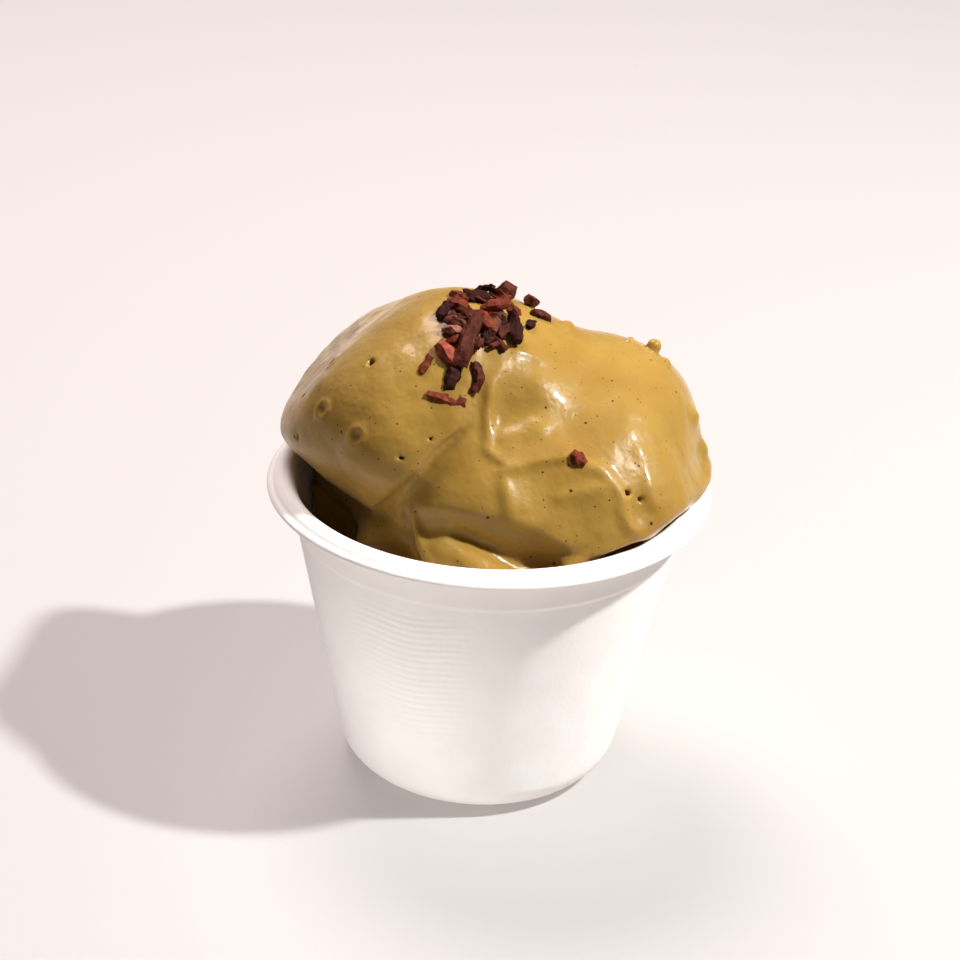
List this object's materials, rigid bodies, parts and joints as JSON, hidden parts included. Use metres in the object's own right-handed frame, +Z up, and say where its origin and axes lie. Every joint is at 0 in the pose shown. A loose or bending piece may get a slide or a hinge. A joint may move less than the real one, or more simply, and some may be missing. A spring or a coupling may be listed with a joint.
{
  "type": "sorbet in a cup",
  "caption": "Heaped mustard-yellow sorbet, folded and glossy, with cacao nibs on top, in a round tapered cup of off-white moulded pulp.",
  "frame": {"origin": "centre of the cup's flat base, on the surface it stands on", "axes": "+Z up along the cup's axis; -Y towards the viewer of the shown front; +X to the viewer's right"},
  "size_m": [0.076, 0.076, 0.087],
  "materials": {
    "cup": "matt moulded sugarcane pulp with a fine wire-mesh imprint",
    "sorbet": "smooth, wet and glossy frozen sorbet; the fused cacao nibs are dark reddish brown"
  },
  "bodies": {
    "root": {"cup": "cup", "sorbet": "sorbet"}
  },
  "joints": []
}
